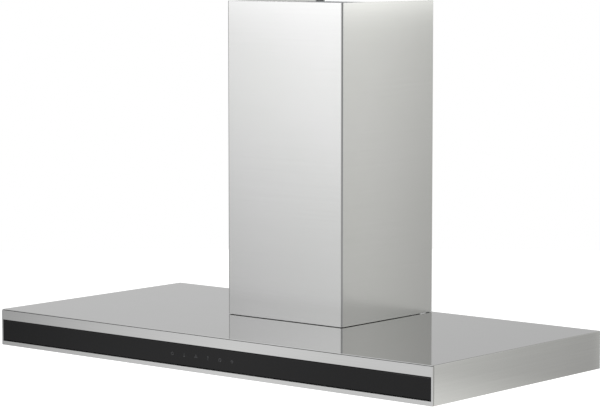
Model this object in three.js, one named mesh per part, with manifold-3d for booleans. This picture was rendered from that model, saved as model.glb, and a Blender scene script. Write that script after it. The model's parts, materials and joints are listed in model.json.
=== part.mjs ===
// Wall chimney range hood: a flat canopy with a black touch-control strip, three drop-down grease filters,
// a blower inside a square telescopic chimney, and the brackets that hang it on a wall.
// Millimetres, +Z up. X runs along the front, the wall is the plane Y = 0 and the front faces -Y.
// Heights are written from the canopy's lower edge. The finished group is lowered by LEVEL, so that
// the origin lies on the wall plane, at the middle of the canopy's rear wall.
import * as THREE from 'three';
import { mergeVertices } from 'three/addons/utils/BufferGeometryUtils.js';
import Module from 'manifold-3d';

const wasm = await Module();
wasm.setup();

// ---- Driving dimensions --------------------------------------------------------------------------

const GAP = 0.25; // left between pieces that touch
const SEAM = 0.8; // the shadow joint between the fascia and the canopy's sheet
const SHEET = 1; // sheet steel of the canopy, blower box and chimney
const LEVEL = 30; // the origin's height above the canopy's lower edge

const CANOPY = { half: 449, depth: 436, height: 60, bend: 1.5, flange: 16, keyholeX: 300, keyholeZ: 42 };
const FASCIA = {
  sheet: 1.25, open: [6.75, 42.5], recess: 6.25, lip: 15, end: 3, lap: 2.25, windowX: 72, windowZ: [12, 38],
};
const GLASS = { from: 7.5, to: 42.25, set: 0.125, thick: 4.5, chamfer: 1.5 };
const KEYS = { count: 6, pitch: 25, window: 9 };
const GUIDE = { y: [4.875, 7.75], tall: 25.2 };
const BOARD_PLATE = { half: 73.8, y: [8.125, 9.75], z: [11, 39] };
const TRAY = { half: 76, wall: 1.5, deep: 15.5, z: [9, 41] };

const PANEL = { z: [1.5, 2.5], half: 447.5, front: -429.5, rear: -1.5, upstand: 6, clear: 1 };
const FILTER = { pitch: 272, half: 130, y: [-335, -35], z: [1.5, 10.5], bar: 12, groove: 5, grooveZ: [3, 6] };
const LATCH = {
  housing: 36, inner: -303, half: 30, y: [-331, -308], neck: 26, neckZ: 3.5, top: 8.5, travel: 5,
};
const TABS = { x: [-90, 90], half: 12, reach: 7, z: [3.25, 4.75] };
const LAMP = { x: 240, y: -378, hole: 30.4, sides: 24 };
const CONTROL_BOX = {
  x: [215, 335], y: [-62, -18], foot: 37, wall: 2, lid: [35, 36.7], lap: 2.5, lapTop: 39,
};
const DRIVER = { x: [-335, -215], y: [-56, -24], foot: 40, ear: 12, earInset: 8 };

const BLOWER = { half: 105, y: [-225, -15], top: 330, flange: 8, axisY: -120, axisZ: 168 };
const SCROLL = { half: 55, wall: 2.5, tongue: 82, wide: 102, inlet: 62, neckTop: 328.6 };
const WHEEL = { half: 48, outer: 74, inner: 58, blades: 20, rim: 69, shaft: 4, hub: 12 };
const MOTOR = { radius: 42, from: 8, to: 58 };
const CAPACITOR = { place: { x: 84, y: -196 }, radius: 14, z: [75, 135], stud: 4, studTop: 141 };
const COLLAR = { outer: 75, inner: 73.5, flange: 88, top: 386, ledge: 351.5, pinZ: 356, pin: 2, sides: 32 };
const FLAP = { radius: 72.3, z: [351.9, 353.1], knuckle: 3.4, bore: 2.35, length: 12, split: 0.6 };

const CHIMNEY = { half: 120.5, front: -239, rear: -4, foot: 60.75, top: 573, bend: 4, lip: 12 };
const UPPER = {
  inset: 1.5, foot: 62.5, top: 571.5, lip: 10,
  slots: 5, firstSlot: 40, slotPitch: 12, slotLength: 150, slotHeight: 4,
};
const UPPER_BRACKET = { half: 106, sheet: 1.5, arm: 40, z: [546, 568] };
const LOWER_BRACKET = { half: 104, sheet: 1.5, arm: 30, ear: 110, z: [440, 460] };
const BRACKET_HOLES = { x: [-60, 60], radius: 3.25 };
const HOOK = { x: [48, 92], arm: [60, 80], z: [270, 330], armZ: 298, reach: -36, sheet: 2.5 };
const HOOK_X = (HOOK.arm[0] + HOOK.arm[1]) / 2;

const FRONT = -CANOPY.depth;
const SIDES = [['left', -1], ['right', 1]];

// ---- Materials -----------------------------------------------------------------------------------

const finish = (color, metalness, roughness) =>
  new THREE.MeshStandardMaterial({ color, metalness, roughness });
const STEEL = finish(0xc4c4c0, 1, 0.3);
const ZINC = finish(0x9fa3a6, 0.9, 0.5);
const ALUMINIUM = finish(0xd2d4d6, 1, 0.4);
const BLACK_GLASS = finish(0x17181a, 0, 0.05);
const LENS = finish(0xf2f1ea, 0, 0.35);
const DARK_PLASTIC = finish(0x2b2c2e, 0, 0.5);
const GREY_PLASTIC = finish(0x8d9093, 0, 0.55);
const BOARD = finish(0x2f6b3f, 0, 0.5);
const CABLE = finish(0xd9d9d4, 0, 0.6);

// ---- Geometry helpers ----------------------------------------------------------------------------

const inset = ([from, to], by) => [from + by, to - by];

function slab([x0, x1], [y0, y1], [z0, z1]) {
  const box = new THREE.BoxGeometry(Math.abs(x1 - x0), Math.abs(y1 - y0), Math.abs(z1 - z0));
  return box.translate((x0 + x1) / 2, (y0 + y1) / 2, (z0 + z1) / 2);
}

// A round bar along one axis, from and to along it; x, y and z give the other two.
function rod(axis, radius, [from, to], { x = 0, y = 0, z = 0 }, sides = 16) {
  const bar = new THREE.CylinderGeometry(radius, radius, to - from, sides);
  const middle = (from + to) / 2;
  if (axis === 'x') return bar.rotateZ(-Math.PI / 2).translate(middle, y, z);
  if (axis === 'z') return bar.rotateX(Math.PI / 2).translate(x, y, middle);
  return bar.translate(x, middle, z);
}

// A profile of [radius, height] pairs turned about a vertical axis at x, y.
function turned(profile, { x = 0, y = 0 }, sides) {
  const points = profile.map(([radius, height]) => new THREE.Vector2(radius, height));
  return new THREE.LatheGeometry(points, sides).rotateX(Math.PI / 2).translate(x, y, 0);
}

const outline = (points) => new THREE.Shape(points.map(([u, v]) => new THREE.Vector2(u, v)));

// An outline in the XY plane, raised from z0 to z1.
function raised(shape, [z0, z1], curveSegments = 4) {
  const depth = z1 - z0;
  return new THREE.ExtrudeGeometry(shape, { depth, bevelEnabled: false, curveSegments }).translate(0, 0, z0);
}

// An outline in the YZ plane, drawn out from x0 to x1.
function drawn(shape, [x0, x1]) {
  const turn = new THREE.Matrix4().makeBasis(
    new THREE.Vector3(0, 1, 0),
    new THREE.Vector3(0, 0, 1),
    new THREE.Vector3(1, 0, 0),
  );
  const made = new THREE.ExtrudeGeometry(shape, { depth: x1 - x0, bevelEnabled: false });
  return made.applyMatrix4(turn).translate(x0, 0, 0);
}

function solid(geometry) {
  const bare = geometry.clone().deleteAttribute('normal').deleteAttribute('uv');
  const { attributes, index } = mergeVertices(bare, 1e-4);
  const vertProperties = attributes.position.array;
  const triVerts = new Uint32Array(index.array);
  return new wasm.Manifold(new wasm.Mesh({ numProp: 3, vertProperties, triVerts }));
}

function surface(body) {
  const { vertProperties, triVerts } = body.getMesh();
  const geometry = new THREE.BufferGeometry();
  geometry.setAttribute('position', new THREE.BufferAttribute(vertProperties, 3));
  geometry.setIndex(new THREE.BufferAttribute(triVerts, 1));
  geometry.computeVertexNormals();
  return geometry;
}

const join = (...pieces) => surface(pieces.map(solid).reduce((whole, piece) => whole.add(piece)));
const cut = (base, ...tools) =>
  surface(tools.map(solid).reduce((whole, tool) => whole.subtract(tool), solid(base)));
const common = (base, tool) => surface(solid(base).intersect(solid(tool)));

const hood = new THREE.Group();
hood.position.z = -LEVEL;

function add(name, geometry, material) {
  const mesh = new THREE.Mesh(geometry, material);
  mesh.name = name;
  hood.add(mesh);
}

// ---- Canopy --------------------------------------------------------------------------------------

const blowerScrewPlaces = [-200, -50].flatMap((y) => [-1, 1].map((side) => ({ x: side * 109, y })));

// A bar along Y, from the front to the wall, with its two upper edges bent round.
function canopyBlock() {
  const { half, depth, height, bend } = CANOPY;
  const shape = new THREE.Shape();
  shape.moveTo(-half, 0).lineTo(half, 0).lineTo(half, height - bend);
  shape.absarc(half - bend, height - bend, bend, 0, Math.PI / 2, false);
  shape.absarc(bend - half, height - bend, bend, Math.PI / 2, Math.PI, false);
  return raised(shape, [0, depth]).rotateX(Math.PI / 2);
}

// One folded sheet: top, sides, rear wall and a flange turned in along the lower edge. The front is open.
function canopyShell() {
  const { half, height, flange, keyholeX, keyholeZ } = CANOPY;
  const beyond = 5;
  const ahead = FRONT - beyond;
  const inner = [SHEET - half, half - SHEET];
  const [front, rear] = BLOWER.y;
  const ledge = 7;
  const intakeX = BLOWER.half - ledge;
  return cut(
    canopyBlock(),
    slab(inner, [ahead, -SHEET], [SHEET, height - SHEET]),
    slab([-half - beyond, half + beyond], [ahead, FRONT + FASCIA.lap + SEAM], [-beyond, height - SHEET]),
    slab(inner, [ahead, FRONT + FASCIA.lip + GAP], [-beyond, beyond]),
    slab([flange - half, half - flange], [ahead, -flange], [-beyond, beyond]),
    slab([-intakeX, intakeX], [front + ledge, rear - ledge], [height - beyond, height + beyond]),
    ...[-1, 1].map((side) => rod('y', 4, [-beyond, beyond], { x: side * keyholeX, z: keyholeZ })),
    ...blowerScrewPlaces.map((place) => rod('z', 2.4, [height - beyond, height + beyond], place, 12)),
  );
}

// One folded strip: a face above the glass, a recess behind it, a face below it, and a lip along each edge.
function frontFascia() {
  const { sheet, open: [low, high], recess, lip, end, lap, windowX, windowZ } = FASCIA;
  const top = CANOPY.height - SHEET - SEAM;
  const back = FRONT + recess;
  const { half } = CANOPY;
  const between = [end - half, half - end];
  const whole = [-half - 5, half + 5];
  const behindSides = [-1, 1].map((side) =>
    slab([side * (half + 5), side * (half - SHEET - GAP)], [FRONT + lap, FRONT + lip + 5], [-5, top + 5]),
  );
  return cut(
    slab([-half, half], [FRONT, FRONT + lip], [0, top]),
    slab(whole, [back, FRONT + lip + 5], [sheet, top - sheet]),
    slab(between, [FRONT - 5, back - sheet], [low, high]),
    slab(between, [FRONT + sheet, back + 5], [high + sheet, top - sheet]),
    slab(between, [FRONT + sheet, back + 5], [sheet, low - sheet]),
    slab([-windowX, windowX], [back - 3, back + 1], windowZ),
    ...behindSides,
  );
}

function controlGlass() {
  const { from, to, set, thick, chamfer } = GLASS;
  const face = FRONT + set;
  const back = face + thick;
  const reach = CANOPY.half - FASCIA.end - GAP;
  return drawn(
    outline([
      [face + chamfer, from], [back, from], [back, to], [face + chamfer, to],
      [face, to - chamfer], [face, from + chamfer],
    ]),
    [-reach, reach],
  );
}

const keyPlaces = Array.from({ length: KEYS.count }, (_, i) => (i - (KEYS.count - 1) / 2) * KEYS.pitch);

function iconLightGuide() {
  const half = FASCIA.windowX - 0.4;
  const middle = (FASCIA.windowZ[0] + FASCIA.windowZ[1]) / 2;
  const y = GUIDE.y.map((depth) => FRONT + depth);
  const plate = slab([-half, half], y, [middle - GUIDE.tall / 2, middle + GUIDE.tall / 2]);
  const wide = KEYS.window / 2;
  const windows = keyPlaces.map((x) =>
    slab([x - wide, x + wide], inset(y, -1), [middle - wide, middle + wide]),
  );
  return cut(plate, ...windows);
}

function controlBoard() {
  const { half, y, z } = BOARD_PLATE;
  const [face, back] = y.map((depth) => FRONT + depth);
  const board = slab([-half, half], [face, back], z);
  const chips = [[-50, 8], [-18, 12], [22, 8]].map(([x, wide]) =>
    slab([x - wide, x + wide], [back - 0.5, back + 1.8], [18, 32]),
  );
  const connector = slab([50, 70], [back - 0.5, back + 3.2], [20, 30]);
  return join(board, ...chips, connector);
}

// Open towards the fascia; the control cable leaves through its back.
function controlHousing() {
  const { half, wall, deep, z } = TRAY;
  const face = FRONT + FASCIA.recess + GAP;
  const outer = slab([-half, half], [face, face + deep], z);
  const hollow = slab([wall - half, half - wall], [face - 1, face + deep - wall], inset(z, wall));
  return cut(outer, hollow, rod('y', 3.4, [face, face + deep + 1], { x: 60, z: 25 }, 12));
}

// ---- Underside -----------------------------------------------------------------------------------

const filterPlaces = [['left', -FILTER.pitch], ['middle', 0], ['right', FILTER.pitch]];

function undersidePanel() {
  const { z, half, front, rear, upstand, clear } = PANEL;
  const sheet = slab([-half, half], [front, rear], z);
  const rimTop = z[1] + upstand;
  const middle = (z[0] + z[1]) / 2;
  const reach = FILTER.half + clear;
  const rims = filterPlaces.flatMap(([, x]) =>
    [-1, 1].map((side) => slab([x + side * reach, x + side * (reach + SHEET)], FILTER.y, [middle, rimTop])),
  );
  const edges = [-1, 1].map((side) =>
    slab([side * (half - 2 * SHEET), side * (half - SHEET)], [-415, rear - SHEET], [middle, rimTop]),
  );
  const openings = filterPlaces.map(([, x]) =>
    slab([x - reach, x + reach], inset(FILTER.y, -clear), inset(z, -1)),
  );
  const lampHoles = [-1, 1].map((side) =>
    rod('z', LAMP.hole, inset(z, -1), { x: side * LAMP.x, y: LAMP.y }, 32),
  );
  return cut(join(sheet, ...rims, ...edges), ...openings, ...lampHoles);
}

// The space inside the frame at a distance from its edges, with a notch left for the latch housing.
function filterOpening(x, margin, notch) {
  const { half, y: [front, rear] } = FILTER;
  const [low, high] = [front + margin, rear - margin];
  const inner = LATCH.inner + notch - LATCH.housing;
  return outline([
    [x - notch, low], [x - notch, inner], [x + notch, inner], [x + notch, low], [x + half - margin, low],
    [x + half - margin, high], [x - half + margin, high], [x - half + margin, low],
  ]);
}

// A channel frame with two tabs that hook over the panel's rear edge, and a T-slot for the latch.
function filterFrame(x) {
  const { half, y: [front, rear], z, bar, groove, grooveZ } = FILTER;
  const ring = cut(
    slab([x - half, x + half], [front, rear], z),
    raised(filterOpening(x, bar, LATCH.housing), inset(z, -1)),
    raised(filterOpening(x, bar - groove, LATCH.housing), grooveZ),
  );
  const tabs = TABS.x.map((off) =>
    slab([x + off - TABS.half, x + off + TABS.half], [rear - 2, rear + TABS.reach], TABS.z),
  );
  return cut(
    join(ring, ...tabs),
    slab([x - LATCH.neck, x + LATCH.neck], LATCH.y, [z[0] - 1, LATCH.neckZ + 1]),
    slab([x - LATCH.half, x + LATCH.half], LATCH.y, [LATCH.neckZ, LATCH.top]),
    slab([x - 11, x + 11], [front - 1, LATCH.y[0] + 1], [4.25, 6.75]),
  );
}

function filterMesh(x) {
  const { bar, groove, grooveZ } = FILTER;
  return raised(filterOpening(x, bar - groove + GAP, LATCH.housing + 2 * GAP), inset(grooveZ, GAP));
}

// A slider that runs in the T-slot, with a finger pull below. Its tongue stops short of the panel's edge.
function filterLatch(x) {
  const { half, neck, neckZ, y, top, travel } = LATCH;
  const length = [y[0] + GAP, y[1] - travel - GAP];
  const plate = slab([x - half + 0.5, x + half - 0.5], length, [neckZ + GAP, top - GAP]);
  const foot = slab([x - neck + 0.5, x + neck - 0.5], inset(length, 0.5), [PANEL.z[0] + 0.5, neckZ + 1]);
  const tongue = slab([x - 10.5, x + 10.5], [FILTER.y[0] - 0.4, y[0] + 1], [4.5, 6.5]);
  const pull = slab([x - 20, x + 20], [length[0] + 4, length[1] - 3], [0, 6.2]);
  return cut(join(plate, foot, tongue), pull);
}

function lampBezel(place) {
  const rim = [[25, 0.2], [34, 0.2], [34, 1.2], [30, 1.2]];
  const sleeve = [[30, 11], [27.5, 11], [27.5, 1.2], [25, 1.2], [25, 0.2]];
  return turned([...rim, ...sleeve], place, LAMP.sides);
}

const lampLens = (place) => rod('z', 27.2, [1.5, 3.5], place, LAMP.sides);

function lampBody(place) {
  const plug = [[0, 3.8], [27.2, 3.8], [27.2, 11.3]];
  const fins = [[32, 11.3], [32, 14], [29, 14], [29, 17], [32, 17], [32, 20], [0, 20]];
  return turned([...plug, ...fins], place, LAMP.sides);
}

const underTop = CANOPY.height - SHEET - GAP;

function electronicsBox() {
  const { x, y, foot, wall } = CONTROL_BOX;
  return cut(slab(x, y, [foot, underTop]), slab(inset(x, wall), inset(y, wall), [foot - 1, underTop - wall]));
}

function electronicsLid() {
  const { x, y, lid, lap, lapTop } = CONTROL_BOX;
  return join(slab(x, y, lid), slab(inset(x, lap), inset(y, lap), [lid[1] - 0.7, lapTop]));
}

// A closed box with a fixing ear at each end.
function lampDriver() {
  const { x, y, foot, ear, earInset } = DRIVER;
  const ears = slab(inset(x, -ear), inset(y, earInset), [underTop - 3, underTop - 1]);
  return join(slab(x, y, [foot, underTop]), ears);
}

// ---- Cables --------------------------------------------------------------------------------------

function cable(points, radius) {
  const route = new THREE.CatmullRomCurve3(points.map((p) => new THREE.Vector3(...p)), false, 'centripetal');
  const section = new THREE.Shape().absarc(0, 0, radius, 0, 2 * Math.PI);
  const settings = { steps: 16, extrudePath: route, curveSegments: 3, bevelEnabled: false };
  return new THREE.ExtrudeGeometry(section, settings);
}

const cables = {
  control_cable: [
    [60, -422.6, 25], [60, -390, 25], [72, -355, 38], [150, -250, 48], [250, -110, 50], [255, -62.4, 50],
  ],
  lamp_cable_left: [
    [-240, -378, 20.4], [-240, -376, 30], [-250, -340, 46], [-270, -150, 50], [-275, -56.4, 50],
  ],
  lamp_cable_right: [
    [240, -378, 20.4], [240, -376, 30], [255, -340, 46], [300, -150, 50], [305, -62.4, 50],
  ],
  motor_cable: [
    [214.6, -40, 47], [150, -42, 48], [104, -60, 50], [88, -75, 75], [84, -100, 130], [71, -112, 150],
  ],
};

// ---- Blower --------------------------------------------------------------------------------------

const collarScrewPlaces = [45, 135, 225, 315].map((degrees) => {
  const angle = THREE.MathUtils.degToRad(degrees);
  return { x: 82 * Math.cos(angle), y: BLOWER.axisY + 82 * Math.sin(angle) };
});
const glandPlace = { x: 88, y: -32 };
const hookScrewPlace = (side) => ({ x: side * HOOK_X, y: -28 });

function blowerBox() {
  const { half, y: [front, rear], top, flange, axisY } = BLOWER;
  const foot = CANOPY.height + GAP;
  const box = cut(
    join(
      slab([-half, half], [front, rear], [foot + SHEET / 2, top]),
      slab([-half - flange, half + flange], [front - flange, rear + flange], [foot, foot + SHEET]),
    ),
    slab([SHEET - half, half - SHEET], [front + SHEET, rear - SHEET], [foot - 1, top - SHEET]),
  );
  const lugs = [-1, 1].map((side) =>
    slab([side * HOOK.arm[0], side * HOOK.arm[1]], [-42, rear - SHEET / 2], [314, 316]),
  );
  const hookSlots = [-1, 1].map((side) =>
    slab([side * (HOOK_X - 14), side * (HOOK_X + 14)], [rear - 3, rear + 3], [290, 310]),
  );
  return cut(
    join(box, ...lugs),
    rod('z', COLLAR.inner - 0.5, [top - 5, top + 5], { y: axisY }, COLLAR.sides),
    rod('z', 6.4, [top - 5, top + 5], glandPlace, 12),
    ...collarScrewPlaces.map((place) => rod('z', 1.8, [top - 5, top + 5], place, 8)),
    ...blowerScrewPlaces.map((place) => rod('z', 2.4, [foot - 5, foot + 5], place, 12)),
    ...hookSlots,
    ...[-1, 1].map((side) => rod('z', 3.3, [310, 320], hookScrewPlace(side), 12)),
  );
}

// The volute about the wheel's axis, drawn smaller all round by the given margin.
function scrollOutline(margin) {
  const steps = 40;
  const start = THREE.MathUtils.degToRad(65);
  const volute = Array.from({ length: steps }, (_, i) => {
    const turn = i / (steps - 1);
    const radius = SCROLL.tongue + (SCROLL.wide - SCROLL.tongue) * turn - margin;
    const angle = start - turn * THREE.MathUtils.degToRad(350);
    return [BLOWER.axisY + radius * Math.cos(angle), BLOWER.axisZ + radius * Math.sin(angle)];
  });
  return outline(volute);
}

// The outlet neck, which widens from the volute up to the box's top.
function neckOutline(margin, top) {
  const front = BLOWER.axisY - 100 + margin;
  const throat = BLOWER.axisY + 30 - margin;
  const rear = BLOWER.axisY + 74 - margin;
  return outline([[front, BLOWER.axisZ], [throat, 225], [rear, 310], [rear, top], [front, top]]);
}

function scrollHalf(side) {
  const { half, wall, inlet, neckTop } = SCROLL;
  const centre = { y: BLOWER.axisY, z: BLOWER.axisZ };
  const outer = join(drawn(scrollOutline(0), [-half, half]), drawn(neckOutline(0, neckTop), [-half, half]));
  const across = [wall - half, half - wall];
  const hollow = join(drawn(scrollOutline(wall), across), drawn(neckOutline(wall, neckTop + 5), across));
  const housing = cut(outer, hollow, rod('x', inlet, [-half - 5, half + 5], centre, 32));
  return common(housing, slab([side * (GAP / 2), side * 100], [-300, 0], [0, 400]));
}

// A double-inlet wheel: a centre disc with a hub, a rim at each end and leaning blades between them.
function impeller() {
  const { half, outer, inner, blades, rim, hub, shaft } = WHEEL;
  const { axisY: y, axisZ: z } = BLOWER;
  const centre = { y, z };
  const ring = (x) =>
    cut(rod('x', outer, [x - 1.5, x + 1.5], centre, 24), rod('x', rim, [x - 3, x + 3], centre, 24));
  const lean = THREE.MathUtils.degToRad(9);
  const thick = THREE.MathUtils.degToRad(1.4);
  const at = (radius, angle) => [y + radius * Math.cos(angle), z + radius * Math.sin(angle)];
  const vanes = Array.from({ length: blades }, (_, i) => {
    const angle = (i / blades) * 2 * Math.PI;
    const tip = angle + lean;
    const edge = outer - 1;
    const corners = [at(inner, angle), at(edge, tip), at(edge, tip + thick), at(inner, angle + thick)];
    return drawn(outline(corners), [0.5 - half, half - 0.5]);
  });
  const disc = rod('x', inner + 6, [-1, 1], centre, 24);
  const boss = rod('x', hub, [-14, 6], centre, 16);
  const wheel = join(disc, boss, ring(1.5 - half), ring(half - 1.5), ...vanes);
  return cut(wheel, rod('x', shaft + GAP, [-20, 20], centre, 16));
}

const wheelAxis = { y: BLOWER.axisY, z: BLOWER.axisZ };

const motorShaft = () => rod('x', WHEEL.shaft, [-16, MOTOR.from - GAP], wheelAxis, 16);

function motor() {
  const { radius, from, to } = MOTOR;
  return join(
    rod('x', radius, [from + 6, to], wheelAxis, 24),
    rod('x', radius - 10, [from, from + 8], wheelAxis, 24),
    rod('x', 14, [to - 1, to + 4], wheelAxis, 16),
  );
}

// A three-armed plate that carries the motor in the right-hand inlet.
function motorBracket() {
  const { axisY: y, axisZ: z } = BLOWER;
  const arms = [90, 210, 330].flatMap((degrees) => {
    const turn = new THREE.Matrix4().makeRotationX(THREE.MathUtils.degToRad(degrees));
    const arm = slab([62.75, 64.75], [0, 77], [-7, 7]);
    const foot = slab([SCROLL.half + GAP, 65.25], [72, 78], [-8, 8]);
    return [arm, foot].map((piece) => piece.applyMatrix4(turn).translate(0, y, z));
  });
  return join(rod('x', 22, [62.5, 65.5], { y, z }, 24), ...arms);
}

function capacitor() {
  const { place, radius, z, stud, studTop } = CAPACITOR;
  return join(rod('z', radius, z, place, 16), rod('z', stud, [z[1] - 1, studTop], place, 10));
}

function cableGland() {
  const { top } = BLOWER;
  return cut(
    join(
      rod('z', 6, [top - 10, top + 18], glandPlace, 16),
      rod('z', 9, [top + GAP, top + 7], glandPlace, 6),
      rod('z', 8, [top - 7, top - SHEET - GAP], glandPlace, 6),
    ),
    rod('z', 3.5, [top - 20, top + 30], glandPlace, 12),
  );
}

function outletCollar() {
  const { outer, inner, flange, top, ledge, pinZ, pin, sides } = COLLAR;
  const foot = BLOWER.top + GAP;
  const profile = [
    [inner, foot], [flange, foot], [flange, foot + SHEET], [outer, foot + SHEET], [outer, top], [inner, top],
    [inner, ledge], [inner - 3.5, ledge], [inner - 3.5, ledge - 2], [inner, ledge - 2], [inner, foot],
  ];
  const y = BLOWER.axisY;
  return cut(
    turned(profile, { y }, sides),
    rod('y', pin + 0.4, [y - outer - 5, y + outer + 5], { z: pinZ }, 12),
    ...collarScrewPlaces.map((place) => rod('z', 1.8, [foot - 5, foot + 5], place, 8)),
  );
}

function damperPin() {
  const reach = COLLAR.outer + 2;
  return rod('y', COLLAR.pin, [BLOWER.axisY - reach, BLOWER.axisY + reach], { z: COLLAR.pinZ }, 12);
}

// One half of the non-return damper, with its own two knuckles and room for the other half's.
function damperFlap(side) {
  const { radius, z, knuckle, bore, length, split } = FLAP;
  const centre = { y: BLOWER.axisY };
  const plate = common(
    rod('z', radius, z, centre, COLLAR.sides),
    slab([side * split, side * 100], [-300, 0], inset(z, -1)),
  );
  const along = (offset) => [BLOWER.axisY + offset - length / 2, BLOWER.axisY + offset + length / 2];
  const own = side < 0 ? [-45, 45] : [-28, 28];
  const others = side < 0 ? [-28, 28] : [-45, 45];
  const knuckles = own.map((offset) => rod('y', knuckle, along(offset), { z: COLLAR.pinZ }, 16));
  const room = others.map((offset) => {
    const [from, to] = along(offset);
    return slab([0, side * (knuckle + 1.4)], [from - 1, to + 1], inset(z, -1));
  });
  const pinRoom = rod('y', bore, [BLOWER.axisY - 100, BLOWER.axisY + 100], { z: COLLAR.pinZ }, 16);
  return cut(join(cut(plate, ...room), ...knuckles), pinRoom);
}

// A pan-head screw standing on z, with its shank below.
function screw({ x, y }, z, { head, tall, shank, reach }) {
  return turned([[0, z - reach], [shank, z - reach], [shank, z], [head, z], [head, z + tall * 0.6],
    [head * 0.6, z + tall], [0, z + tall]], { x, y }, 10);
}

// ---- Chimney and brackets ------------------------------------------------------------------------

// A channel open towards the wall, its front bends rounded and its rear edges turned in.
function channelShape(half, front, rear, lip) {
  const bend = CHIMNEY.bend;
  const inner = bend - SHEET;
  const quarter = Math.PI / 2;
  const shape = new THREE.Shape();
  shape.moveTo(lip - half, rear).lineTo(-half, rear).lineTo(-half, front + bend);
  shape.absarc(bend - half, front + bend, bend, Math.PI, Math.PI + quarter, false);
  shape.absarc(half - bend, front + bend, bend, -quarter, 0, false);
  shape.lineTo(half, rear).lineTo(half - lip, rear).lineTo(half - lip, rear - SHEET);
  shape.lineTo(half - SHEET, rear - SHEET).lineTo(half - SHEET, front + bend);
  shape.absarc(half - bend, front + bend, inner, 0, -quarter, true);
  shape.absarc(bend - half, front + bend, inner, Math.PI + quarter, Math.PI, true);
  shape.lineTo(SHEET - half, rear - SHEET).lineTo(lip - half, rear - SHEET);
  return shape;
}

const lowerChimney = () =>
  raised(channelShape(CHIMNEY.half, CHIMNEY.front, CHIMNEY.rear, CHIMNEY.lip), [CHIMNEY.foot, CHIMNEY.top]);

// The telescopic part, with recirculation slots near the top of both sides.
function upperChimney() {
  const { inset: margin, foot, top, lip, slots, firstSlot, slotPitch, slotLength, slotHeight } = UPPER;
  const half = CHIMNEY.half - margin;
  const channel = raised(channelShape(half, CHIMNEY.front + margin, CHIMNEY.rear - margin, lip), [foot, top]);
  const middle = (CHIMNEY.front + CHIMNEY.rear) / 2;
  const along = [middle - slotLength / 2, middle + slotLength / 2];
  const vents = Array.from({ length: slots }, (_, i) => {
    const z = top - firstSlot - i * slotPitch;
    return slab([-half - 5, half + 5], along, [z, z + slotHeight]);
  });
  return cut(channel, ...vents);
}

// A U of sheet against the wall, each arm ending in an ear of the given reach.
function bracketShape(half, sheet, arm, ear) {
  const right = [
    [half, 0], [half, sheet - arm], [ear, sheet - arm],
    [ear, -arm], [half - sheet, -arm], [half - sheet, -sheet],
  ];
  return outline([...right, ...right.map(([x, y]) => [-x, y]).reverse()]);
}

function wallBracket({ half, sheet, arm, z }, ear) {
  const middle = (z[0] + z[1]) / 2;
  const holes = BRACKET_HOLES.x.map((x) => rod('y', BRACKET_HOLES.radius, [-5, 5], { x, z: middle }, 12));
  return cut(raised(bracketShape(half, sheet, arm, ear), z), ...holes);
}

// Its ears reach the inner faces of the telescopic part.
const upperWallBracket = () => wallBracket(UPPER_BRACKET, CHIMNEY.half - UPPER.inset - SHEET - GAP);
const lowerWallBracket = () => wallBracket(LOWER_BRACKET, LOWER_BRACKET.ear);

function wallHook(side) {
  const { x, arm, z, armZ, reach, sheet } = HOOK;
  const both = (range) => range.map((value) => side * value).sort((a, b) => a - b);
  const plate = slab(both(x), [-sheet, 0], z);
  const hook = outline([
    [-sheet / 2, armZ], [-sheet / 2, armZ + sheet], [reach + sheet, armZ + sheet],
    [reach + sheet, armZ + 8], [reach, armZ + 8], [reach, armZ],
  ]);
  const holes = [280, 320].map((height) => rod('y', 3.25, [-5, 5], { x: side * HOOK_X, z: height }, 12));
  return cut(join(plate, drawn(hook, both(arm))), ...holes);
}

// ---- Assembly ------------------------------------------------------------------------------------

add('canopy_shell', canopyShell(), STEEL);
add('front_fascia', frontFascia(), STEEL);
add('control_glass', controlGlass(), BLACK_GLASS);
add('icon_light_guide', iconLightGuide(), DARK_PLASTIC);
add('control_board', controlBoard(), BOARD);
add('control_housing', controlHousing(), DARK_PLASTIC);
add('underside_panel', undersidePanel(), STEEL);

for (const [place, x] of filterPlaces) {
  add(`filter_frame_${place}`, filterFrame(x), ALUMINIUM);
  add(`filter_mesh_${place}`, filterMesh(x), ALUMINIUM);
  add(`filter_latch_${place}`, filterLatch(x), STEEL);
}

for (const [name, side] of SIDES) {
  const place = { x: side * LAMP.x, y: LAMP.y };
  add(`lamp_bezel_${name}`, lampBezel(place), STEEL);
  add(`lamp_lens_${name}`, lampLens(place), LENS);
  add(`lamp_body_${name}`, lampBody(place), ALUMINIUM);
}

add('lamp_driver', lampDriver(), GREY_PLASTIC);
add('electronics_box', electronicsBox(), GREY_PLASTIC);
add('electronics_lid', electronicsLid(), GREY_PLASTIC);
for (const [name, points] of Object.entries(cables)) add(name, cable(points, 2), CABLE);

add('blower_box', blowerBox(), ZINC);
for (const [name, side] of SIDES) add(`scroll_${name}_half`, scrollHalf(side), GREY_PLASTIC);
add('impeller', impeller(), GREY_PLASTIC);
add('motor_shaft', motorShaft(), STEEL);
add('motor', motor(), ZINC);
add('motor_bracket', motorBracket(), ZINC);
add('capacitor', capacitor(), GREY_PLASTIC);
add('cable_gland', cableGland(), DARK_PLASTIC);
add('outlet_collar', outletCollar(), DARK_PLASTIC);
add('damper_pin', damperPin(), STEEL);
for (const [name, side] of SIDES) add(`damper_flap_${name}`, damperFlap(side), DARK_PLASTIC);

const sheetScrew = { head: 3.2, tall: 2.4, shank: 2, reach: 9 };
const collarScrew = { head: 3, tall: 2, shank: 1.5, reach: 7 };
const hookScrew = { head: 5, tall: 4, shank: 3, reach: 22 };
const ends = ['front', 'rear'];
blowerScrewPlaces.forEach((place, i) => {
  const name = `blower_screw_${ends[Math.floor(i / 2)]}_${SIDES[i % 2][0]}`;
  add(name, screw(place, CANOPY.height + SHEET + 2 * GAP, sheetScrew), ZINC);
});
collarScrewPlaces.forEach((place, i) => {
  add(`collar_screw_${i + 1}`, screw(place, BLOWER.top + SHEET + 2 * GAP, collarScrew), ZINC);
});

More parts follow.
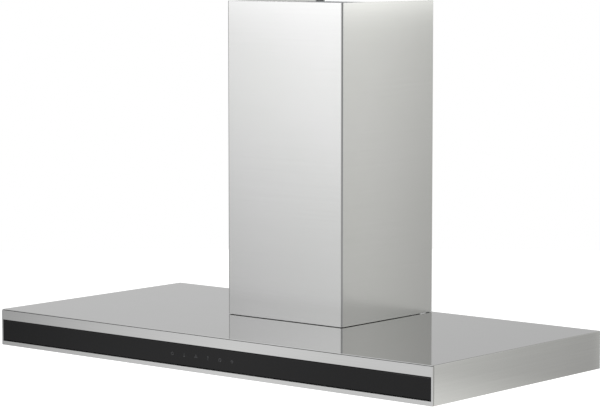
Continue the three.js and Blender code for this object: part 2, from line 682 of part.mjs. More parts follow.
add('lower_chimney', lowerChimney(), STEEL);
add('upper_chimney', upperChimney(), STEEL);
add('upper_wall_bracket', upperWallBracket(), ZINC);
add('lower_wall_bracket', lowerWallBracket(), ZINC);
for (const [name, side] of SIDES) {
  add(`wall_hook_${name}`, wallHook(side), ZINC);
  add(`levelling_screw_${name}`, screw(hookScrewPlace(side), 323, hookScrew), ZINC);
}

const part = new THREE.Group();
part.add(hood);
export default part;
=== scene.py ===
"""Wall chimney range hood: materials, fine pieces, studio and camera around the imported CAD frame."""

import json
import math

import bmesh
import bpy
from mathutils import Matrix, Vector

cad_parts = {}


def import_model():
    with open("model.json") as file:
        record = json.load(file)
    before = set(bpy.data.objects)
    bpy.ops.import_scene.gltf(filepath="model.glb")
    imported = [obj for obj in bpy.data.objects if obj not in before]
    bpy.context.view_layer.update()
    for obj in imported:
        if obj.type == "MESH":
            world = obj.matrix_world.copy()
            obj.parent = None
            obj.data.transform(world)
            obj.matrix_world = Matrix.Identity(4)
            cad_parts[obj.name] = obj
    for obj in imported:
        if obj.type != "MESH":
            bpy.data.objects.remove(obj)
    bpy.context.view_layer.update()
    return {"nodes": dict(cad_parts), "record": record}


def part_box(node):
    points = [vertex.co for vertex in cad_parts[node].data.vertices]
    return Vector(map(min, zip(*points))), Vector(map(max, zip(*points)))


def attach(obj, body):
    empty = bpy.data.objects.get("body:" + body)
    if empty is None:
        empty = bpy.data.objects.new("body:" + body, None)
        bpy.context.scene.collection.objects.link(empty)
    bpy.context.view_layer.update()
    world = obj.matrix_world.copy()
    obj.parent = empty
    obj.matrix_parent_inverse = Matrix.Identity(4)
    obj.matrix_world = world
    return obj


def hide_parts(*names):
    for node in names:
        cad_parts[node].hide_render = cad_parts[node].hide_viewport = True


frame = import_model()
scene = bpy.context.scene

MM = 0.001
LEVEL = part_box("canopy_shell")[0].z  # the canopy's lower edge
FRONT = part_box("canopy_shell")[0].y


# ---- Node helpers ---------------------------------------------------------------------------------


class Graph:
    """A short way to add shader nodes to one material or world."""

    def __init__(self, owner):
        owner.use_nodes = True
        self.tree = owner.node_tree
        self.nodes = self.tree.nodes

    def add(self, kind, inputs=None, **settings):
        node = self.nodes.new(kind)
        for name, value in settings.items():
            setattr(node, name, value)
        for socket, value in (inputs or {}).items():
            self.put(node.inputs[socket], value)
        return node

    def put(self, socket, value):
        if isinstance(value, bpy.types.NodeSocket):
            self.tree.links.new(value, socket)
        else:
            socket.default_value = value

    def maths(self, operation, a, b=0.0):
        return self.add("ShaderNodeMath", {0: a, 1: b}, operation=operation).outputs[0]

    def noise(self, vector, scale, detail=2.0, roughness=0.5):
        inputs = {"Vector": vector, "Scale": scale, "Detail": detail, "Roughness": roughness}
        return self.add("ShaderNodeTexNoise", inputs).outputs["Fac"]

    def stretched(self, vector, scale):
        return self.add("ShaderNodeMapping", {"Vector": vector, "Scale": scale}).outputs["Vector"]

    def remap(self, value, low, high, to_low, to_high):
        inputs = {"Value": value, "From Min": low, "From Max": high, "To Min": to_low, "To Max": to_high}
        return self.add("ShaderNodeMapRange", inputs).outputs["Result"]

    def blend(self, factor, first, second):
        inputs = {0: factor, 6: first, 7: second}  # 6 and 7 are the node's colour sockets
        return self.add("ShaderNodeMix", inputs, data_type="RGBA").outputs[2]

    def bump(self, height, strength, distance):
        inputs = {"Height": height, "Strength": strength, "Distance": distance}
        return self.add("ShaderNodeBump", inputs).outputs["Normal"]

    def ramp(self, value, stops):
        node = self.add("ShaderNodeValToRGB", {"Fac": value})
        elements = node.color_ramp.elements
        while len(elements) < len(stops):
            elements.new(0.5)
        for element, (position, level) in zip(elements, stops):
            element.position = position
            element.color = (level, level, level, 1)
        return node.outputs["Color"]


def material(name, colour, metallic=0.0, roughness=0.5, **sockets):
    """A new material, its graph and its shader's sockets. A socket's name has _ in place of a space."""
    made = bpy.data.materials.new(name)
    graph = Graph(made)
    shader = graph.nodes["Principled BSDF"]
    shader.inputs["Base Color"].default_value = (*colour, 1)
    shader.inputs["Metallic"].default_value = metallic
    shader.inputs["Roughness"].default_value = roughness
    for socket, value in sockets.items():
        shader.inputs[socket.replace("_", " ")].default_value = value
    return made, graph, shader.inputs


# ---- Materials ------------------------------------------------------------------------------------

STEEL = (0.61, 0.61, 0.61)
STEEL_CLOUD = (0.600, 0.603, 0.597)
SCRATCHES = (1500, 9)  # scale of the noise across the brushing and along it
STREAKS = (380, 3)
SCRATCH_SHARE = 1.5  # how much the scratches change the roughness, against 1 for the smudges
FACES_SIDE = 0.7  # the part of a normal along X from which the brushing runs along Y
BENT = 0.72  # the largest part of a normal where the sheet is fully bent and its painted shade is darkest
BEND_SHADE_LEVEL = 0.35  # how dark the painted shade on a bend is there, against 1 on the flat


def brush_marks(graph, place, end, scales):
    """Noise drawn out along X, and along Y where end says that the face looks along X."""
    across, along = scales
    along_x = graph.stretched(place, (along, across, across))
    along_y = graph.stretched(place, (across, along, across))
    return graph.blend(end, graph.noise(along_x, 1.0, 3.0, 0.6), graph.noise(along_y, 1.0, 3.0, 0.6))


def brushed_steel(name, roughness, grain, glancing, dulled, flat):
    """Stainless sheet: fine scratches and broader streaks along the sheet, soft clouds, painted shade on
    bends.

    grain is how much the roughness varies, glancing how much of a reflection is left at a low angle, dulled
    how bright the dull marks are against the clean ones, and flat how large the largest part of the normal
    is where a face counts as flat and the painted shade of the bends ends.
    """
    edge = (glancing, glancing, glancing, 1)
    made, graph, sockets = material(name, STEEL, metallic=1.0, roughness=roughness, Specular_Tint=edge)
    coordinates = graph.add("ShaderNodeTexCoord").outputs
    place = coordinates["Object"]
    facing = graph.add("ShaderNodeSeparateXYZ", {0: coordinates["Normal"]}).outputs
    along = [graph.maths("ABSOLUTE", facing[axis]) for axis in "XYZ"]
    end = graph.maths("GREATER_THAN", along[0], FACES_SIDE)
    largest = graph.maths("MAXIMUM", graph.maths("MAXIMUM", along[0], along[1]), along[2])
    scratches = brush_marks(graph, place, end, SCRATCHES)
    streaks = brush_marks(graph, place, end, STREAKS)
    clouds = graph.noise(place, 5.0, 3.0, 0.55)
    smudges = graph.noise(place, 34.0, 4.0, 0.6)
    clean = graph.blend(graph.remap(clouds, 0.35, 0.65, 0, 1), (*STEEL, 1), (*STEEL_CLOUD, 1))
    dull = graph.add("ShaderNodeHueSaturation", {"Value": dulled, "Color": clean}).outputs["Color"]
    marks = graph.maths("MULTIPLY", graph.maths("ADD", scratches, streaks), 0.5)
    brushed = graph.blend(graph.remap(marks, 0.3, 0.7, 0, 1), dull, clean)
    # painted shade: the base colour is darkened where the normal turns between two faces, on bends and
    # rounded edges
    bend_shade = graph.remap(largest, BENT, flat, BEND_SHADE_LEVEL, 1.0)
    with_bend_shade = graph.add("ShaderNodeHueSaturation", {"Value": bend_shade, "Color": brushed}).outputs["Color"]
    graph.put(sockets["Base Color"], with_bend_shade)
    worn = graph.maths("ADD", smudges, graph.maths("MULTIPLY", scratches, SCRATCH_SHARE))
    average = (1 + SCRATCH_SHARE) / 2
    spread = graph.maths("MULTIPLY", graph.maths("SUBTRACT", worn, average), grain)
    graph.put(sockets["Roughness"], graph.maths("ADD", spread, roughness))
    graph.put(sockets["Normal"], graph.bump(scratches, 0.03, 0.0001))
    return made


def zinc_steel():
    """Galvanised sheet with the patchy crystals of zinc."""
    made, graph, sockets = material("zinc_steel", (0.46, 0.48, 0.50), metallic=1.0, roughness=0.42)
    place = graph.add("ShaderNodeTexCoord").outputs["Object"]
    cells = graph.add("ShaderNodeTexVoronoi", {"Vector": place, "Scale": 95.0}).outputs["Color"]
    shade = graph.add("ShaderNodeRGBToBW", {0: cells}).outputs[0]
    dust = graph.noise(place, 420.0, 3.0)
    graph.put(sockets["Base Color"], graph.blend(shade, (0.40, 0.42, 0.44, 1), (0.56, 0.58, 0.60, 1)))
    spread = graph.maths("ADD", graph.maths("MULTIPLY", shade, 0.16), graph.maths("MULTIPLY", dust, 0.1))
    graph.put(sockets["Roughness"], graph.maths("ADD", spread, 0.28))
    graph.put(sockets["Normal"], graph.bump(dust, 0.06, 0.0001))
    return made


def aluminium():
    """Bare aluminium, satin and slightly streaked."""
    made, graph, sockets = material("aluminium", (0.70, 0.71, 0.72), metallic=1.0, roughness=0.34)
    place = graph.add("ShaderNodeTexCoord").outputs["Object"]
    streaks = graph.noise(graph.stretched(place, (40, 900, 900)), 1.0, 3.0)
    cloud = graph.noise(place, 22.0, 3.0)
    graph.put(sockets["Base Color"], graph.blend(cloud, (0.64, 0.65, 0.66, 1), (0.76, 0.77, 0.78, 1)))
    graph.put(sockets["Roughness"], graph.remap(streaks, 0.3, 0.7, 0.26, 0.44))
    graph.put(sockets["Normal"], graph.bump(streaks, 0.06, 0.0001))
    return made


def black_glass():
    """Polished glass, black at the back, with the faintest film of handling marks."""
    made, graph, sockets = material("black_glass", (0.004, 0.004, 0.0045), roughness=0.06, IOR=1.32)
    place = graph.add("ShaderNodeTexCoord").outputs["Object"]
    marks = graph.noise(place, 60.0, 4.0, 0.65)
    graph.put(sockets["Roughness"], graph.remap(marks, 0.35, 0.75, 0.04, 0.11))
    clean, handled = (0.0015, 0.0015, 0.0018, 1), (0.0028, 0.0028, 0.0032, 1)
    graph.put(sockets["Base Color"], graph.blend(marks, clean, handled))
    return made


def moulded(name, colour, roughness, grain=900.0, depth=0.08):
    """Moulded plastic with a fine spark-eroded texture and a slight unevenness of tone."""
    made, graph, sockets = material(name, colour, roughness=roughness)
    place = graph.add("ShaderNodeTexCoord").outputs["Object"]
    texture = graph.noise(place, grain, 2.0, 0.6)
    cloud = graph.noise(place, 18.0, 3.0)
    light = tuple(min(1.0, value * 1.16) for value in colour)
    dark = tuple(value * 0.86 for value in colour)
    graph.put(sockets["Base Color"], graph.blend(cloud, (*dark, 1), (*light, 1)))
    graph.put(sockets["Roughness"], graph.remap(texture, 0.3, 0.7, roughness - 0.07, roughness + 0.09))
    graph.put(sockets["Normal"], graph.bump(texture, depth, 0.00012))
    return made


def frosted_lens():
    """Opal diffuser with a fine prismatic pattern."""
    made, graph, sockets = material(
        "lamp_lens", (0.86, 0.86, 0.82), roughness=0.3, Transmission_Weight=0.15, Subsurface_Weight=0.25
    )
    place = graph.add("ShaderNodeTexCoord").outputs["Object"]
    beads = graph.add("ShaderNodeTexVoronoi", {"Vector": place, "Scale": 900.0}).outputs["Distance"]
    graph.put(sockets["Base Color"], graph.blend(beads, (0.88, 0.88, 0.85, 1), (0.80, 0.80, 0.76, 1)))
    graph.put(sockets["Normal"], graph.bump(beads, 0.25, 0.0002))
    return made


def circuit_board():
    """Green solder mask with copper tracks under it."""
    made, graph, sockets = material("circuit_board", (0.02, 0.12, 0.05), roughness=0.3)
    place = graph.add("ShaderNodeTexCoord").outputs["Object"]
    tracks = graph.add("ShaderNodeTexBrick", {"Vector": place, "Scale": 260.0}).outputs["Fac"]
    graph.put(sockets["Base Color"], graph.blend(tracks, (0.015, 0.10, 0.04, 1), (0.05, 0.20, 0.07, 1)))
    return made


STEEL_SATIN = brushed_steel(
    "brushed_steel_satin", roughness=0.20, grain=0.05, glancing=1.0, dulled=0.965, flat=0.86
)
STEEL_BRIGHT = brushed_steel(
    "brushed_steel_bright", roughness=0.06, grain=0.02, glancing=0.82, dulled=0.94, flat=0.97
)
SLOTS = {
    "brushed_steel": STEEL_BRIGHT,
    "zinc_steel": zinc_steel(),
    "aluminium": aluminium(),
    "black_glass": black_glass(),
    "lamp_lens": frosted_lens(),
    "dark_plastic": moulded("dark_plastic", (0.03, 0.03, 0.032), 0.45),
    "grey_plastic": moulded("grey_plastic", (0.30, 0.31, 0.32), 0.5),
    "circuit_board": circuit_board(),
    "cable_sheath": moulded("cable_sheath", (0.62, 0.62, 0.58), 0.42, grain=500.0, depth=0.04),
}
SATIN_NODES = {"lower_chimney", "upper_chimney"}


# ---- Finish of the CAD nodes ----------------------------------------------------------------------

SHARP_ANGLE = math.radians(32)  # an edge with a larger angle stays sharp in the shading
BEVEL_ANGLE = math.radians(40)  # an edge with a larger angle is rounded
FLAT_ANGLE = math.radians(0.5)  # faces with a smaller angle between them are joined before that


def smooth_shading():
    """A modifier's node group that shades faces smooth and keeps edges over SHARP_ANGLE sharp."""
    group = bpy.data.node_groups.new("smooth_by_angle", "GeometryNodeTree")
    group.interface.new_socket("Geometry", in_out="INPUT", socket_type="NodeSocketGeometry")
    group.interface.new_socket("Geometry", in_out="OUTPUT", socket_type="NodeSocketGeometry")
    nodes, links = group.nodes, group.links
    start = nodes.new("NodeGroupInput")
    end = nodes.new("NodeGroupOutput")
    faces = nodes.new("GeometryNodeSetShadeSmooth")
    edges = nodes.new("GeometryNodeSetShadeSmooth")
    edges.domain = "EDGE"
    angle = nodes.new("GeometryNodeInputMeshEdgeAngle")
    under = nodes.new("FunctionNodeCompare")
    under.operation = "LESS_THAN"
    under.inputs[1].default_value = SHARP_ANGLE
    links.new(start.outputs[0], faces.inputs["Geometry"])
    links.new(faces.outputs[0], edges.inputs["Geometry"])
    links.new(angle.outputs["Unsigned Angle"], under.inputs[0])
    links.new(under.outputs[0], edges.inputs["Shade Smooth"])
    links.new(edges.outputs[0], end.inputs[0])
    return group


SMOOTH = smooth_shading()


def soften(piece, width):
    """Rounds the piece's sharp edges by width and shades it smoothly."""
    weld = piece.modifiers.new("weld", "WELD")
    weld.merge_threshold = 0.002 * MM
    if width:
        flat = piece.modifiers.new("flatten", "DECIMATE")
        flat.decimate_type = "DISSOLVE"
        flat.angle_limit = FLAT_ANGLE
        bevel = piece.modifiers.new("edges", "BEVEL")
        bevel.width = width
        bevel.segments = 2
        bevel.limit_method = "ANGLE"
        bevel.angle_limit = BEVEL_ANGLE
        bevel.use_clamp_overlap = True
    piece.modifiers.new("shading", "NODES").node_group = SMOOTH
    flats = piece.modifiers.new("flats", "WEIGHTED_NORMAL")
    flats.mode = "FACE_AREA"
    flats.weight = 100
    flats.keep_sharp = True


SIDES = ("left", "right")
FILTERS = ("left", "middle", "right")
EDGE_WIDTH = {  # rounding of a node's edges in millimetres, 0 for nodes not named here
    "canopy_shell": 0.35,
    "front_fascia": 0.3,
    "lower_chimney": 0.3,
    "upper_chimney": 0.3,
    "underside_panel": 0.25,
    "control_glass": 0.2,
    "blower_box": 0.3,
    "electronics_box": 0.8,
    "electronics_lid": 0.5,
    "lamp_driver": 0.8,
    "upper_wall_bracket": 0.3,
    "lower_wall_bracket": 0.3,
}
for side in SIDES:
    EDGE_WIDTH[f"wall_hook_{side}"] = 0.5
for side in FILTERS:
    EDGE_WIDTH[f"filter_frame_{side}"] = 0.4
    EDGE_WIDTH[f"filter_latch_{side}"] = 0.35

slot_of = {entry["node"]: entry["material_slot"] for entry in frame["record"]["subparts"]}
body_of = {
    node: body for body, nodes in frame["record"]["behaviour"]["bodies"].items() for node in nodes
}
for node, piece in frame["nodes"].items():
    piece.data.materials.clear()
    piece.data.materials.append(STEEL_SATIN if node in SATIN_NODES else SLOTS[slot_of[node]])
    soften(piece, EDGE_WIDTH.get(node, 0) * MM)


# ---- Making new pieces ----------------------------------------------------------------------------


def piece_from(mesh, name, node, slot=None):
    """An object of the bmesh that rides on the node's body, with that node's finish or another slot's."""
    data = bpy.data.meshes.new(name)
    bmesh.ops.recalc_face_normals(mesh, faces=mesh.faces)
    mesh.to_mesh(data)
    mesh.free()
    piece = bpy.data.objects.new(name, data)
    scene.collection.objects.link(piece)
    slot = slot or slot_of[node]
    data.materials.append(SLOTS[slot])
    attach(piece, body_of[node])
    piece.modifiers.new("shading", "NODES").node_group = SMOOTH
    return piece


def middle_of(node):
    low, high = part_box(node)
    return (low + high) / 2


def height(value):
    """The z of a height given in millimetres above the canopy's lower edge."""
    return LEVEL + value * MM


LATHE_SIDES = 96


def turned(outline, node):
    """A bmesh of a closed outline of (radius, height) points in millimetres, turned about an upright axis.

    The axis goes through the node's middle, and a point on it becomes one shared vertex.
    """
    mesh = bmesh.new()
    centre = middle_of(node)
    turns = [2 * math.pi * i / LATHE_SIDES for i in range(LATHE_SIDES)]
    rings = []
    for radius, level in outline:
        reach, z = radius * MM, height(level)
        if radius == 0:
            rings.append([mesh.verts.new((centre.x, centre.y, z))] * LATHE_SIDES)
            continue
        spots = [(centre.x + reach * math.cos(t), centre.y + reach * math.sin(t), z) for t in turns]
        rings.append([mesh.verts.new(spot) for spot in spots])
    for lower, upper in zip(rings, rings[1:] + rings[:1]):
        for i in range(LATHE_SIDES):
            j = (i + 1) % LATHE_SIDES
            corners = dict.fromkeys((lower[i], lower[j], upper[j], upper[i]))
            if len(corners) > 2:
                mesh.faces.new(corners)
    return mesh


# ---- Lamps and outlet collar ----------------------------------------------------------------------

# Outlines of (radius, height) points, in millimetres above the canopy's lower edge.
BEZEL = (
    (25.0, 1.0), (25.0, 0.5), (25.4, 0.2), (33.3, 0.2), (33.8, 0.45), (34.0, 0.9), (33.8, 1.2),
    (30.0, 1.2), (30.0, 11.0), (27.5, 11.0), (27.5, 1.25), (25.2, 1.25),
)
LENS = ((0, 1.3), (12, 1.36), (20, 1.45), (24.9, 1.55), (27.2, 1.6), (27.2, 3.5), (0, 3.5))
COLLAR = (
    (73.5, 330.25), (88.0, 330.25), (88.0, 331.25), (75.6, 331.25), (75.0, 331.9),
    (75.0, 385.0), (74.6, 386.0), (73.9, 386.0), (73.5, 385.0),
    (73.5, 351.5), (70.0, 351.5), (70.0, 349.5), (73.5, 349.5),
)


def bezel(side):
    """A pressed bezel with a rolled rim."""
    node = f"lamp_bezel_{side}"
    fine = piece_from(turned(BEZEL, node), f"lamp_bezel_{side}_pressed", node)
    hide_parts(node)


def lens(side):
    """A slightly domed lens."""
    node = f"lamp_lens_{side}"
    fine = piece_from(turned(LENS, node), f"lamp_lens_{side}_domed", node)
    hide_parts(node)


def collar():
    """The duct collar with a tapered rim, and the ledge inside it on which its flaps close."""
    node = "outlet_collar"
    fine = piece_from(turned(COLLAR, node), "outlet_collar_moulded", node)
    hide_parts(node)


for side in SIDES:
    bezel(side)
    lens(side)
collar()


# ---- Filter mesh ----------------------------------------------------------------------------------

CELL = (14 * MM, 7 * MM)  # one diamond of the expanded metal, along X and Y
STRAND = (0.85 * MM, 0.35 * MM)  # half width and thickness of its strands
PEAK_GAP = 0.6  # distance between two strands' middles where they meet, in half widths
LIFT = 0.12 * MM  # how much higher a strand's rear peaks are
LAYERS = ((3.4, 0.0), (4.3, 0.33), (5.2, 0.67))  # height in millimetres, shift along Y in quarter cells
MESH_MARGIN = 0.4 * MM  # between the strands' ends and the edges of the CAD node
NOTCH_HALF = 36.5 * MM  # half width of that node's notch for the latch housing
NOTCH_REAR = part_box("filter_frame_middle")[0].y + 34 * MM  # strands behind it run right across


def strand(mesh, x_from, x_to, y, z, flip):
    """One zigzag ribbon of the expanded metal, a closed bar that meets its neighbours at the peaks."""
    half, thick = STRAND
    step = CELL[0] / 2
    swing = CELL[1] / 2 - half * PEAK_GAP
    stations = [x_from + i * step for i in range(math.ceil((x_to - x_from) / step))] + [x_to]
    rings = []
    for x in stations:
        wave = abs((x - x_from) / step % 2 - 1)
        rise = wave if flip else 1 - wave
        rings.append(
            [
                mesh.verts.new((x, y + (rise - 0.5) * swing + across, z + rise * LIFT + up))
                for across, up in ((-half, 0), (half, 0), (half, thick), (-half, thick))
            ]
        )
    for first, second in zip(rings, rings[1:]):
        for k in range(4):
            mesh.faces.new((first[k], first[(k + 1) % 4], second[(k + 1) % 4], second[k]))
    mesh.faces.new(reversed(rings[0]))
    mesh.faces.new(rings[-1])


def filter_mesh(side):
    """Stacked sheets of expanded aluminium inside the filter's frame, cut round the latch housing."""
    node = f"filter_mesh_{side}"
    low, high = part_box(node)
    left, right = low.x + MESH_MARGIN, high.x - MESH_MARGIN
    notch = NOTCH_HALF + MESH_MARGIN
    centre = (low.x + high.x) / 2
    rows = int((high.y - low.y - 2 * MESH_MARGIN) / (CELL[1] / 2))
    mesh = bmesh.new()
    for z, shift in LAYERS:
        for row in range(1, rows):
            y = low.y + MESH_MARGIN + (row + shift / 2) * CELL[1] / 2
            flip = row % 2 == 0
            spans = [(left, right)]
            if y < NOTCH_REAR:
                spans = [(left, centre - notch), (centre + notch, right)]
            for x_from, x_to in spans:
                strand(mesh, x_from, x_to, y, height(z), flip)
    fine = piece_from(mesh, f"filter_mesh_{side}_layers", node)
    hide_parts(node)


for side in FILTERS:
    filter_mesh(side)


# ---- Touch icons ----------------------------------------------------------------------------------

ICON_PITCH = 25 * MM
ICON_SIZE = 2.9 * MM  # half height of an icon
ICON_LINE = 0.3 * MM  # half width of its lines
ICON_DEPTH = 0.05 * MM
GLASS_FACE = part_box("control_glass")[0].y


def bar(mesh, centre, start, end):
    """A flat bar on the glass between two points of the icon, in half heights of an icon."""
    a, b = Vector(start) * ICON_SIZE, Vector(end) * ICON_SIZE
    along = (b - a).normalized()
    across = Vector((-along.y, along.x)) * ICON_LINE
    corners = [a - across, b - across, b + across, a + across]
    rings = []
    for y in (GLASS_FACE, GLASS_FACE - ICON_DEPTH):
        rings.append([mesh.verts.new((centre.x + c.x, y, centre.z + c.y)) for c in corners])
    mesh.faces.new(rings[0])
    mesh.faces.new(reversed(rings[1]))
    for k in range(4):
        mesh.faces.new((rings[0][k], rings[0][(k + 1) % 4], rings[1][(k + 1) % 4], rings[1][k]))


def arc(mesh, centre, radius, start, end, steps=20):
    """A line of short bars along a circle's arc, angles in degrees from the right."""
    points = []
    for i in range(steps + 1):
        angle = math.radians(start + (end - start) * i / steps)
        points.append((radius * math.cos(angle), radius * math.sin(angle)))
    for first, second in zip(points, points[1:]):
        bar(mesh, centre, first, second)


def power_icon(mesh, centre):
    arc(mesh, centre, 0.8, 125, 415)
    bar(mesh, centre, (0, 0.25), (0, 1.05))


def arrow(mesh, centre, way):
    """A slim arrow with a stem, up where way is 1 and down where it is -1."""
    tip = (0, 1.15 * way)
    bar(mesh, centre, (0, -1.05 * way), tip)
    for side in (-0.5, 0.5):
        bar(mesh, centre, (side, 0.55 * way), tip)


def slower_icon(mesh, centre):
    arrow(mesh, centre, -1)


def faster_icon(mesh, centre):
    arrow(mesh, centre, 1)


def fan_icon(mesh, centre):
    arc(mesh, centre, 0.2, 0, 360, 10)
    for turn in (90, 210, 330):
        angle = math.radians(turn)
        tip = Vector((math.cos(angle), math.sin(angle)))
        side = Vector((-tip.y, tip.x))
        bar(mesh, centre, tip * 0.25, tip * 0.95 + side * 0.3)
        bar(mesh, centre, tip * 0.95 + side * 0.3, tip * 0.95 - side * 0.35)
        bar(mesh, centre, tip * 0.95 - side * 0.35, tip * 0.25)


def timer_icon(mesh, centre):
    arc(mesh, centre, 0.85, 0, 360)
    bar(mesh, centre, (0, 0), (0, 0.55))
    bar(mesh, centre, (0, 0), (0.4, 0))


def lamp_icon(mesh, centre):
    arc(mesh, centre, 0.42, 0, 360, 14)
    for turn in range(0, 360, 45):
        way = Vector((math.cos(math.radians(turn)), math.sin(math.radians(turn))))
        bar(mesh, centre, way * 0.65, way * 1.0)


def icon_ink():
    made, graph, sockets = material("icon_ink", (0.085, 0.085, 0.09), roughness=0.45)
    place = graph.add("ShaderNodeTexCoord").outputs["Object"]
    grain = graph.noise(place, 4000.0, 2.0)
    graph.put(sockets["Base Color"], graph.blend(grain, (0.036, 0.036, 0.04, 1), (0.06, 0.06, 0.065, 1)))
    return made


ICON_INK = icon_ink()
ICONS = {
    "power": power_icon, "slower": slower_icon, "fan": fan_icon,
    "faster": faster_icon, "timer": timer_icon, "lamp": lamp_icon,
}
for index, (name, draw) in enumerate(ICONS.items()):
    spot = middle_of("control_glass")
    spot.x = (index - (len(ICONS) - 1) / 2) * ICON_PITCH
    icon_mesh = bmesh.new()
    draw(icon_mesh, spot)
    icon = piece_from(icon_mesh, f"touch_icon_{name}", "control_glass", "black_glass")
    icon.data.materials[0] = ICON_INK


# ---- Studio ---------------------------------------------------------------------------------------

FLOOR_Z = -0.95
FLOOR_RADIUS = 9.0

# Brightness of the room from straight down to straight up.
ROOM = ((0.0, 0.55), (0.46, 0.64), (0.53, 0.80), (0.60, 0.74), (0.75, 0.85), (1.0, 1.0))

# Darker parts of the room: direction, flatness, reach of the darkest part and of its edge, level left.
SHADES = (
    ((0.64, -0.77, 0.0), 2.5, (0.08, 0.34), 0.25),
    ((-0.97, 0.24, 0.0), 2.0, (0.20, 0.45), 0.35),
    ((0.10, 0.76, 0.64), 1.0, (0.20, 0.50), 0.30),
    ((-0.35, 0.93, 0.10), 1.0, (0.15, 0.36), 0.85),
)


def world():
    """White to the camera, and to everything else a soft grey room with a few darker parts."""
    made = bpy.data.worlds.new("studio")
    scene.world = made
    graph = Graph(made)
    background = graph.nodes["Background"]
    direction = graph.add("ShaderNodeTexCoord").outputs["Generated"]
    up = graph.add("ShaderNodeSeparateXYZ", {0: direction}).outputs["Z"]
    level = graph.remap(up, -1.0, 1.0, 0.0, 1.0)
    room = graph.ramp(level, ROOM)
    for way, flatness, (full, edge), left in SHADES:
        off = graph.add("ShaderNodeVectorMath", {0: direction, 1: way}, operation="SUBTRACT").outputs[0]
        spread = {0: off, 1: (1, 1, flatness)}
        oval = graph.add("ShaderNodeVectorMath", spread, operation="MULTIPLY").outputs[0]
        away = graph.add("ShaderNodeVectorMath", {0: oval}, operation="LENGTH").outputs["Value"]
        shade = graph.remap(away, full, edge, left, 1.0)
        room = graph.maths("MULTIPLY", room, shade)
    seen = graph.add("ShaderNodeLightPath").outputs["Is Camera Ray"]
    graph.put(background.inputs["Color"], graph.blend(seen, room, (1, 1, 1, 1)))


def floor():
    """A pale floor well below the hood, which neither reflections nor a camera below it can see."""
    mesh = bmesh.new()
    bmesh.ops.create_circle(mesh, cap_ends=True, segments=96, radius=FLOOR_RADIUS)
    bmesh.ops.translate(mesh, verts=mesh.verts, vec=(0, 0, FLOOR_Z))
    data = bpy.data.meshes.new("floor")
    mesh.to_mesh(data)
    mesh.free()
    piece = bpy.data.objects.new("floor", data)
    scene.collection.objects.link(piece)
    made, graph, _ = material(
        "floor", (0.85, 0.85, 0.85), roughness=0.9, Emission_Color=(1, 1, 1, 1), Emission_Strength=0.55
    )
    shader = graph.nodes["Principled BSDF"]
    behind = graph.add("ShaderNodeNewGeometry").outputs["Backfacing"]
    clear = graph.add("ShaderNodeBsdfTransparent")
    mix = graph.add("ShaderNodeMixShader", {0: behind, 1: shader.outputs[0], 2: clear.outputs[0]})
    graph.put(graph.nodes["Material Output"].inputs["Surface"], mix.outputs[0])
    data.materials.append(made)
    piece.visible_glossy = False


# How a card fades to clear at its four edges, from bottom to top and from left to right.
FADE_UPWARD = ((0.0, 0.0), (0.12, 1.0), (0.88, 1.0), (1.0, 0.0))
FADE_ACROSS = ((0.0, 0.0), (0.2, 1.0), (0.8, 1.0), (1.0, 0.0))


def card(name, centre, heading, size, strength, colour, upward, across):
    """A soft upright reflector that the camera doesn't see.

    upward and across are its levels from bottom to top and from left to right, which multiply.
    """
    width, tall = size
    mesh = bmesh.new()
    square = ((-1, -1), (1, -1), (1, 1), (-1, 1))
    mesh.faces.new([mesh.verts.new((u * width / 2, v * tall / 2, 0)) for u, v in square])
    data = bpy.data.meshes.new(name)
    mesh.to_mesh(data)
    mesh.free()
    piece = bpy.data.objects.new(name, data)
    scene.collection.objects.link(piece)
    turn = Matrix.Rotation(math.radians(heading), 4, "Z") @ Matrix.Rotation(math.radians(90), 4, "X")
    piece.matrix_world = Matrix.Translation(centre) @ turn
    piece.visible_camera = False
    piece.visible_shadow = False
    made = bpy.data.materials.new(name)
    graph = Graph(made)
    place = graph.add("ShaderNodeTexCoord").outputs["Generated"]
    parts = graph.add("ShaderNodeSeparateXYZ", {0: place})
    u, v = parts.outputs["X"], parts.outputs["Y"]
    level = graph.maths("MULTIPLY", graph.ramp(v, upward), graph.ramp(u, across))
    power = graph.maths("MULTIPLY", level, strength)
    glow = graph.add("ShaderNodeEmission", {"Color": (*colour, 1), "Strength": power})
    clear = graph.add("ShaderNodeBsdfTransparent")
    mask = graph.maths("MULTIPLY", graph.ramp(u, FADE_ACROSS), graph.ramp(v, FADE_UPWARD))
    mix = graph.add("ShaderNodeMixShader", {0: mask, 1: clear.outputs[0], 2: glow.outputs[0]})
    graph.put(graph.nodes["Material Output"].inputs["Surface"], mix.outputs[0])
    data.materials.append(made)


def softbox(name, place, target, size, power):
    """A rectangular area light at place that shines towards target."""
    data = bpy.data.lights.new(name, "AREA")
    data.shape = "RECTANGLE"
    data.size, data.size_y = size
    data.energy = power
    piece = bpy.data.objects.new(name, data)
    scene.collection.objects.link(piece)
    piece.location = place
    piece.rotation_euler = (Vector(target) - Vector(place)).to_track_quat("-Z", "Y").to_euler()
    piece.visible_camera = False


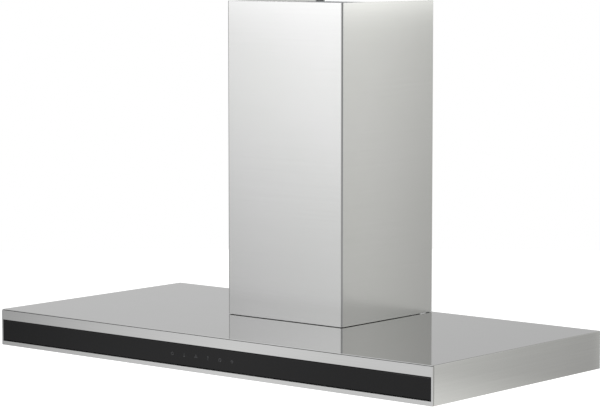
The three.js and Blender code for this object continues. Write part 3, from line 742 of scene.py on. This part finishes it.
world()
floor()
card(
    "front_card", centre=Vector((-0.86, -1.30, 0.25)), heading=-39.5, size=(2.4, 1.8), strength=2.38,
    colour=(1, 1, 1),
    upward=(
        (0.0, 0.36), (0.25, 0.42), (0.30, 0.39), (0.41, 0.48), (0.54, 0.62), (0.64, 0.66),
        (0.66, 0.95), (0.70, 0.95), (0.80, 0.45), (1.0, 0.40),
    ),
    across=((0.0, 0.40), (0.35, 0.58), (0.44, 0.83), (0.55, 1.0), (0.65, 0.92), (1.0, 0.90)),
)
card(
    "side_card", centre=Vector((0.71, 0.62, 0.25)), heading=140.5, size=(2.2, 1.8), strength=2.56,
    colour=(1, 1, 0.965),
    upward=(
        (0.0, 0.42), (0.25, 0.42), (0.28, 0.32), (0.33, 0.335), (0.41, 0.36), (0.50, 0.40),
        (0.59, 0.44), (0.64, 0.44), (0.66, 0.95), (0.70, 0.95), (0.80, 0.40), (1.0, 0.35),
    ),
    across=(
        (0.0, 0.90), (0.30, 0.96), (0.38, 0.75), (0.44, 0.64), (0.455, 1.05), (0.50, 0.83),
        (0.55, 0.62), (1.0, 0.58),
    ),
)
softbox("overhead", place=(-0.3, -0.9, 2.3), target=(0, -0.2, 0.2), size=(1.8, 1.2), power=22)


# ---- Camera ---------------------------------------------------------------------------------------

# Millimetres, then degrees, then metres.
CAMERA = {"lens": 153.48, "sensor": 36, "azimuth": 40.018, "pitch": 5.785, "distance": 3.8218}
TARGET = Vector((0.1992, FRONT, 0.2484))  # a point on the plane of the canopy's front


def camera():
    """Looks at TARGET from the right of the front and a little above it."""
    azimuth, pitch = math.radians(CAMERA["azimuth"]), math.radians(CAMERA["pitch"])
    forward = Vector(
        (-math.sin(azimuth) * math.cos(pitch), math.cos(azimuth) * math.cos(pitch), -math.sin(pitch))
    )
    data = bpy.data.cameras.new("camera")
    data.lens = CAMERA["lens"]
    data.sensor_width = CAMERA["sensor"]
    data.clip_end = 100
    piece = bpy.data.objects.new("camera", data)
    scene.collection.objects.link(piece)
    piece.location = TARGET - forward * CAMERA["distance"]
    piece.rotation_euler = forward.to_track_quat("-Z", "Y").to_euler()
    scene.camera = piece


camera()
scene.view_settings.view_transform = "Standard"
